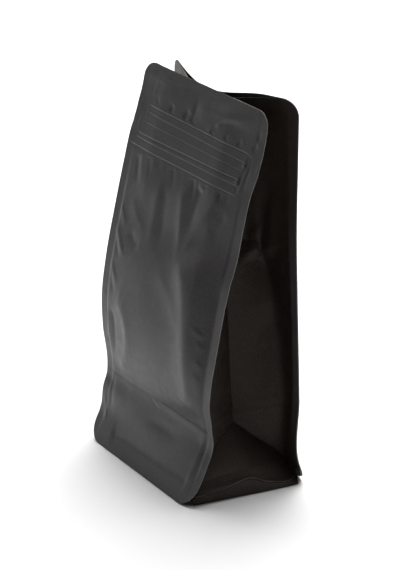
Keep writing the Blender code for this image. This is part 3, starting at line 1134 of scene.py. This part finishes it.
    def rear_wall(self, s: float, inner: np.ndarray, shares: np.ndarray) -> np.ndarray:
        """Points of the rear half: flush on the back panel, then out to an inner point.

        Args:
            s: the film length.
            inner: the point where the half ends.
            shares: how far along each point is, from the seal.

        Returns:
            The points.
        """
        seal_x = self.seal_end(s)
        bend_x = min(float(np.interp(s, *np.array(self.bend).T)), seal_x - self.least_flush)
        back = self.sheets[Face.BACK]
        bend = back.point(self.side.value * bend_x, s, LAYER + self.room)
        flush = seal_x - bend_x
        path = flush + np.linalg.norm(bend - inner)
        gone = path * shares
        on_back = back.point(self.side.value * (seal_x - gone), s, LAYER + self.room)
        away = np.clip((gone - flush) / max(path - flush, 1e-6), 0, 1)
        off_back = bend + (inner - bend) * away[:, None]
        points = np.where((gone < flush)[:, None], on_back, off_back)
        for _ in range(round(np.interp(s, *np.array(self.bend_rounding).T))):
            points[1:-1] = (points[:-2] + 2 * points[1:-1] + points[2:]) / 4
        return self.clear_of(Face.BACK, points, s, shares)

    def fin_row(self, stations: tuple, seal_length: float, back_x: float) -> np.ndarray:
        """A row along the fin, from the seal on the front to a place on the back.

        Args:
            stations: the places that it goes through.
            seal_length: the film length at which it meets both panels.
            back_x: how far from the middle it meets the back panel.

        Returns:
            The points, as (2 * steps + 1, 3).
        """
        end = self.sheets[Face.BACK].point(self.side.value * back_x, seal_length,
                                           LAYER + self.room)
        points = np.vstack((self.seal_point(Face.FRONT, seal_length), self.mirrored(stations), end))
        along = Curve(np.column_stack((np.arange(len(points)), points)))
        return along(np.linspace(0, len(points) - 1, 2 * self.steps + 1))

    def free_edge(self) -> np.ndarray:
        """The row of the fin's free edge."""
        return self.fin_row(self.fin_edge, self.edge_start, self.edge_end)

    def hinge_row(self) -> np.ndarray:
        """The row where the fin turns up into the side of the pouch."""
        return self.fin_row(self.hinge, BASE_SEAL, self.hinge_end)

    def fold_point(self, s: float) -> np.ndarray:
        """The centre fold at a film length of the panels.

        Args:
            s: the film length.

        Returns:
            One point, between the panels and a little lower than them.
        """
        table = np.array(self.fold).T
        x, share, drop = (float(np.interp(s, table[0], values)) for values in table[1:])
        x *= self.side.value
        front = self.sheets[Face.FRONT].point(x, s, self.fold_depth + self.radius)
        back = self.sheets[Face.BACK].point(x, s, self.fold_depth + 2 * self.radius)
        point = front + (back - front) * share
        point[2] = (front[2] + back[2]) / 2 - drop
        return point

    def row(self, s: float, *parts: np.ndarray) -> tuple:
        """A film length and its row: the parts, between the seals on the front and the back."""
        return s, np.vstack((self.seal_columns(Face.FRONT, s), *parts,
                             self.seal_columns(Face.BACK, s)[::-1]))

    def fin(self) -> list:
        """The flared fin's rows, from its free edge to its hinge.

        Returns:
            Pairs of a film length and a row of points.
        """
        edge, hinge = self.free_edge(), self.hinge_row()
        arch = np.sin(np.linspace(0, np.pi, len(edge)))
        rows = []
        for share in np.linspace(0, 1, self.fin_steps + 1):
            between = edge + (hinge - edge) * share
            between[:, 2] -= self.fin_sag * np.sin(np.pi * share) * arch
            rows.append(self.row(self.fin_start + (BASE_SEAL - self.fin_start) * share, between))
        return rows

    def triangle(self) -> list:
        """The rows with the flat triangle, from the hinge to the centre fold's lower end.

        Returns:
            Pairs of a film length and a row of points.
        """
        hinge = self.hinge_row()
        apex = self.mirrored(self.fold_end)
        rows = []
        for step, s in enumerate(np.linspace(BASE_SEAL, FOLD_START, self.steps + 1)[1:], start=1):
            rise = (apex - hinge[self.steps]) * step / self.steps
            facet = hinge[step:2 * self.steps + 1 - step] + rise
            shares = np.arange(step) / step
            rows.append(self.row(s, self.front_wall(s, facet[0], shares), facet,
                                 self.rear_wall(s, facet[-1], shares)[::-1]))
        return rows

    def folded(self) -> list:
        """The folded film's rows, from the centre fold's lower end to the top edge.

        Returns:
            Pairs of a film length and a row of points.
        """
        top = LENGTH - TOP_CORNER
        straight = spaced((FOLD_START, self.row_meeting, self.row_step),
                          (self.row_meeting, top, self.row_step))
        corner = top + quarter(TOP_CORNER, self.top_steps)
        rows = []
        for s in np.concatenate((straight[1:], corner[1:])):
            blend = min(self.most_blend, (s - FOLD_START) / self.fold_blend)
            inner = self.fold_point(s)
            shares = np.arange(self.steps) / (self.steps - blend)
            rows.append(self.row(s, self.front_wall(s, inner, shares), inner,
                                 self.rear_wall(s, inner, shares)[::-1]))
        return rows

    def relief(self) -> list:
        """Folds of the gusset's film, in (from its centre fold, up) places.

        One with a height above 0 is pressed in towards the panels, and one below 0 stands out.
        """
        return [
            *crumples(21 + self.side.value, 70, (-44, 44, 30, 250), 0.22, (8, 30)),
            Fold(((-38, 150), (-30, 110), (-34, 60)), 0.8, 4, 5, crest=2),
            Fold(((-20, 76), (-10, 71), (-1, 70)), -1.0, 3.4, 4.2, crest=1.6, fade=(0.3, 0.2)),
            Fold(((-20, 52), (-10, 56), (-1, 56)), 0.9, 4.5, 4, crest=2, fade=(0.3, 0.2)),
            Fold(((-22, 88), (-10, 92), (-1, 92)), 0.7, 5, 5, crest=2, fade=(0.3, 0.2)),
            Fold(((-16, 46), (-8, 46.4), (-2, 46)), -0.4, 0.9, 0.9, crest=0.4),
            Fold(((26, 120), (20, 90), (24, 60)), 0.6, 4, 5, crest=2),
            Fold(((4, 157), (18, 155), (34, 153)), -2.6, 34, 5, crest=2, fade=(0.3, 0.3)),
            Fold(((6, 170), (14, 161), (21, 151)), -1.8, 12, 2.2, crest=0.7, fade=(0.25, 0.15)),
        ]

    def creased(self, points: np.ndarray, u: np.ndarray, s: np.ndarray,
                seam: np.ndarray) -> np.ndarray:
        """The film's points with its relief, which dies out at the ends, seams and centre fold.

        Args:
            points: the smooth film's points.
            u: how far across the film each is, from the centre fold.
            s: the film length of each.
            seam: how far each is from the nearer side edge.

        Returns:
            The moved points.
        """
        normal = np.cross(np.gradient(points, axis=1), np.gradient(points, axis=0))
        normal /= np.linalg.norm(normal, axis=-1, keepdims=True) + 1e-9
        out = sum((piece.raised(u, s) for piece in self.relief()), np.zeros_like(u))
        inside = eased((s - BASE_SEAL) / self.foot_fade) * eased((LENGTH - s) / self.top_fade)
        inside = inside * eased((seam - SIDE_SEAL - self.seam_margin) / self.seam_fade)
        inside = inside * eased(np.abs(u) / self.fold_fade)
        return points - self.side.value * normal * (out * inside)[..., None]

    def sealed(self, s: np.ndarray, seam: np.ndarray) -> np.ndarray:
        """How far the film is pressed flat in a seal, scaled along the film length for the painted
        sheen.

        Args:
            s: film lengths.
            seam: how far each place is from the nearer side edge.

        Returns:
            Shares from 0 to 1.
        """
        upper, lower = self.upper_sheen_fade, self.lower_sheen_fade
        seal = eased((SIDE_SEAL - seam) / self.seal_edge + 0.5)
        seal = seal * eased((s - BASE_SEAL) / self.seal_start)
        # the painted sheen is strongest mid-way up the seals and fades towards the top and the foot
        seal = seal * (1 - upper[2] * eased((s - upper[0]) / upper[1]))
        return seal * (lower[2] + (1 - lower[2]) * eased((s - lower[0]) / lower[1]))

    def build(self, materials: tuple) -> None:
        """Make the gusset.

        Args:
            materials: the film's and its cut edge's.
        """
        lengths, rows = zip(*self.fin(), *self.triangle(), *self.folded())
        points = np.array(rows)
        across = np.linalg.norm(np.diff(points, axis=1), axis=-1)
        gone = np.concatenate((np.zeros((len(points), 1)), np.cumsum(across, axis=1)), axis=1)
        middle = points.shape[1] // 2
        u = gone - gone[:, middle:middle + 1]
        s = np.repeat(np.array(lengths)[:, None], points.shape[1], axis=1)
        seam = np.minimum(gone, gone[:, -1:] - gone)
        last = points.shape[1] - 2
        cells = [(self.fin_steps + step, self.seal_steps + step) for step in range(self.steps)]
        creases = [(row, column, True) for row, column in cells]
        creases += [(row, last - column, False) for row, column in cells]
        growth = Growth.ALONG if self.side is Side.RIGHT else Growth.AGAINST
        Film("gusset_" + self.side.name.lower(), self.creased(points, u, s, seam), growth, materials,
             self.sealed(s, seam), tuple(creases)).build("gusset_film")


@dataclass
class Base:
    """The base film: flat on the floor, sealed inside the feet and out along the side fins.

    flat is half the flat part's width and depth. foot gives, by depth, how far out the floor part
    reaches. rim is the depth at which the film has risen by its second value over the flat part.
    seal_rows are the film lengths of the rows on the feet.
    """

    sheets: dict
    gusset: Gusset
    flat: tuple = (52.0, 28.0)
    foot: tuple = ((-38, 63.6), (-21, 64.3), (-5, 65), (6, 65.9), (18, 66.6), (34, 66.6))
    foot_inset: float = 0.4         # of the floor part's end from foot
    foot_rise: float = 0.2          # of that end over the flat part
    rim: tuple = (33.0, 3.4)
    lift: float = 0.3               # of the flat part's middle over the floor
    edge_inset: float = 0.3         # of the film's edge from the fin's free edge
    seal_rows: tuple = (1.5, 3.5, 5.5, 7.5, 9.3, BASE_SEAL)
    seal_inset: float = 0.8         # of the film's edge from the panel's
    turn_inset: float = 0.5         # of the turn between wide and narrow columns from the seal line
    least_edge: float = 1.0         # width of the narrow columns together
    floor_rows: int = 41
    flat_columns: int = 41
    side_steps: int = 14
    lip_steps: int = 5

    def span(self, limit: float) -> np.ndarray:
        """Places across a seal row, beyond the flat part, out to its edge.

        Args:
            limit: how far from the middle the edge is.

        Returns:
            The places, without the flat part's own edge.
        """
        turn = min(SEAL_LINE - self.turn_inset, limit - self.least_edge)
        inner = np.linspace(self.flat[0], turn, self.side_steps + 1)[1:]
        return np.concatenate((inner, np.linspace(turn, limit, self.lip_steps + 1)[1:]))

    def seal_row(self, face: Face, s: float, half: np.ndarray) -> np.ndarray:
        """A row of the base on a foot's inner side.

        Args:
            face: the panel.
            s: the film length.
            half: places across the flat part.

        Returns:
            The row's points, from left to right.
        """
        side = self.span(float(half_width(s)) - self.seal_inset)
        return self.sheets[face].point(np.concatenate((-side[::-1], half, side)), s, 2 * LAYER)

    def flank(self, edge: np.ndarray, y: float, z: float) -> np.ndarray:
        """Points from the flat part along the floor, then up to the right fin's free edge.

        Args:
            edge: the point under the fin's free edge.
            y: the row's depth.
            z: the row's height on the flat part.

        Returns:
            The points, as (side_steps + lip_steps, 3).
        """
        start = np.array((self.flat[0], y, z))
        reach = float(np.interp(y, *np.array(self.foot).T)) - self.foot_inset
        foot = np.array((reach, y, self.lift + self.foot_rise))
        run = start + (foot - start) * np.linspace(0, 1, self.side_steps + 1)[1:, None]
        lip = foot + (edge - foot) * np.linspace(0, 1, self.lip_steps + 1)[1:, None]
        return np.vstack((run, lip))

    def floor(self, half: np.ndarray) -> list:
        """The rows of the base on the floor, from front to back, with their lips on the fins.

        Args:
            half: places across the flat part.

        Returns:
            Rows of points, from left to right.
        """
        stations = np.linspace(0, 2 * self.gusset.steps, self.floor_rows).round().astype(int)[1:-1]
        edges = self.gusset.free_edge()[stations] + (-self.edge_inset, 0, -2 * LAYER)
        rows = []
        for edge, y in zip(edges, self.gusset.hinge_row()[stations, 1]):
            beyond = np.clip((abs(y) - self.flat[1]) / (self.rim[0] - self.flat[1]), 0, None)
            z = self.lift + self.rim[1] * beyond ** 1.5
            right = self.flank(edge, y, z)
            middle = np.column_stack((half, np.full_like(half, y), np.full_like(half, z)))
            rows.append(np.vstack(((right * (-1, 1, 1))[::-1], middle, right)))
        return rows

    def build(self, materials: tuple) -> None:
        """Make the base film.

        Args:
            materials: the film's and its cut edge's.
        """
        half = np.linspace(-self.flat[0], self.flat[0], self.flat_columns)
        front = [self.seal_row(Face.FRONT, s, half) for s in self.seal_rows]
        back = [self.seal_row(Face.BACK, s, half) for s in self.seal_rows[::-1]]
        points = np.array([*front, *self.floor(half), *back])
        Film("base_film", points, Growth.AGAINST, materials,
             np.zeros(points.shape[:2])).build("gusset_film")


@dataclass
class ZipStrip:
    """The press-to-close strip sealed behind the front panel, with its ribs on the inner side."""

    sheets: dict
    bottom: float = 209.0
    top: float = 238.0
    half_length: float = 45.0
    depth: float = 1.2 * LAYER      # behind the front panel's outer face
    thickness: float = 0.5
    ribs: tuple = (213.6, 218.0, 224.6, 231.0)
    rib_half: float = 0.55          # half a rib's width
    rib_height: float = 0.9
    columns: int = 61
    rows: int = 117

    def build(self, materials: tuple) -> None:
        """Make the strip.

        Args:
            materials: the strip's one material.
        """
        x, s = np.meshgrid(np.linspace(-self.half_length, self.half_length, self.columns),
                           np.linspace(self.bottom, self.top, self.rows))
        rib = sum(np.exp(-((s - at) / self.rib_half) ** 4) for at in self.ribs)
        plain = self.sheets[Face.FRONT].point(x, s, self.depth)
        inward = self.sheets[Face.FRONT].point(x, s, self.depth + 1) - plain
        Film("zip_strip", plain + inward * (self.rib_height * rib)[..., None], Growth.AGAINST,
             materials, np.zeros_like(x), thickness=self.thickness).build("zip_plastic")


@dataclass(frozen=True)
class Lamp:
    """A soft rectangular light: where it stands, what it faces, its size and its watts."""

    name: str
    at: tuple
    aim: tuple
    size: tuple
    power: float

    def build(self) -> None:
        """Hang the light."""
        data = bpy.data.lights.new(self.name, "AREA")
        data.shape = "RECTANGLE"
        data.size, data.size_y = self.size
        data.energy = self.power
        lamp = bpy.data.objects.new(self.name, data)
        lamp.location = self.at
        turn = (Vector(self.aim) - Vector(self.at)).to_track_quat("-Z", "Y")
        lamp.rotation_euler = turn.to_euler()
        bpy.context.scene.collection.objects.link(lamp)


@dataclass
class Studio:
    """The floor, the lights and the camera, in metres and degrees."""

    camera_at: tuple = (1.63824, -0.95031, 0.84248)
    camera_turn: tuple = (69.1927, -0.7049, 60.1274)
    lens: float = 198.3
    sensor: float = 36.0
    floor_size: float = 12.0
    ambient: float = 0.07
    lamps: tuple = (Lamp("overhead", (-0.45, 0.4, 1.9), (-0.45, 0.4, 0), (1.4, 1.4), 50),
                    Lamp("rear_top", (0.7, 1.0, 1.7), (0, 0, 0), (1.2, 1.2), 4.5),
                    Lamp("backdrop", (-1.3, 1.0, 1.5), (-1.3, 1.0, 0), (1.6, 1.6), 30),
                    Lamp("front_left", (-1.7, -1.4, 0.75), (0, 0, 0.2), (2.0, 0.8), 5.2))

    def floor(self) -> None:
        """A plain pale floor."""
        mesh = bmesh.new()
        bmesh.ops.create_grid(mesh, x_segments=1, y_segments=1, size=self.floor_size / 2)
        data = bpy.data.meshes.new("floor")
        mesh.to_mesh(data)
        mesh.free()
        data.materials.append(FloorFinish().make())
        floor = bpy.data.objects.new("floor", data)
        bpy.context.scene.collection.objects.link(floor)

    def air(self) -> None:
        """A faint even light from all round."""
        world = bpy.data.worlds.new("studio")
        world.use_nodes = True
        background = world.node_tree.nodes["Background"]
        background.inputs["Color"].default_value = (1, 1, 1, 1)
        background.inputs["Strength"].default_value = self.ambient
        bpy.context.scene.world = world

    def camera(self) -> None:
        """The camera, in front and to the right, looking a little down."""
        data = bpy.data.cameras.new("camera")
        data.lens, data.sensor_width = self.lens, self.sensor
        camera = bpy.data.objects.new("camera", data)
        camera.location = self.camera_at
        camera.rotation_euler = Euler(np.radians(self.camera_turn))
        bpy.context.scene.collection.objects.link(camera)
        bpy.context.scene.camera = camera

    def build(self) -> None:
        """Set the whole stage."""
        self.floor()
        self.air()
        for lamp in self.lamps:
            lamp.build()
        bpy.context.scene.view_settings.view_transform = "Standard"
        self.camera()


def main() -> None:
    """Build the pouch's films round the frame, then the stage."""
    logging.basicConfig(level=logging.INFO)
    panel = FilmFinish("panel_film", colour=(0.0185, 0.0165, 0.0165, 1),
                       pale=(0.0235, 0.0215, 0.0215, 1), sealed=(0.022, 0.0205, 0.021, 1),
                       roughness=0.42, specular=0.45, tint=(1.0, 0.97, 0.98, 1))
    # the gusset film's colour, darker and browner than the panel film's, is partly painted shade for
    # the side turned from the lamps
    gusset = FilmFinish("gusset_film", colour=(0.015, 0.0112, 0.0094, 1),
                        # the gusset's sealed colour is a painted pale, bluish sheen
                        pale=(0.021, 0.016, 0.0132, 1), sealed=(0.056, 0.052, 0.057, 1),
                        roughness=0.5, specular=0.25, tint=(1.0, 0.9, 0.82, 1), fleck=3.2)
    cut_edge = CutEdgeFinish().make()
    panel_films, gusset_films = (panel.make(), cut_edge), (gusset.make(), cut_edge)
    pouch = Pouch()
    sheets = {Face.FRONT: pouch.front(), Face.BACK: pouch.back()}
    Panels(sheets).build(panel_films)
    gussets = {side: Gusset(side, sheets) for side in Side}
    for film in gussets.values():
        film.build(gusset_films)
    Base(sheets, gussets[Side.RIGHT]).build(gusset_films)
    ZipStrip(sheets).build((StripFinish().make(),))
    Studio().build()


if __name__ == "__main__":
    main()
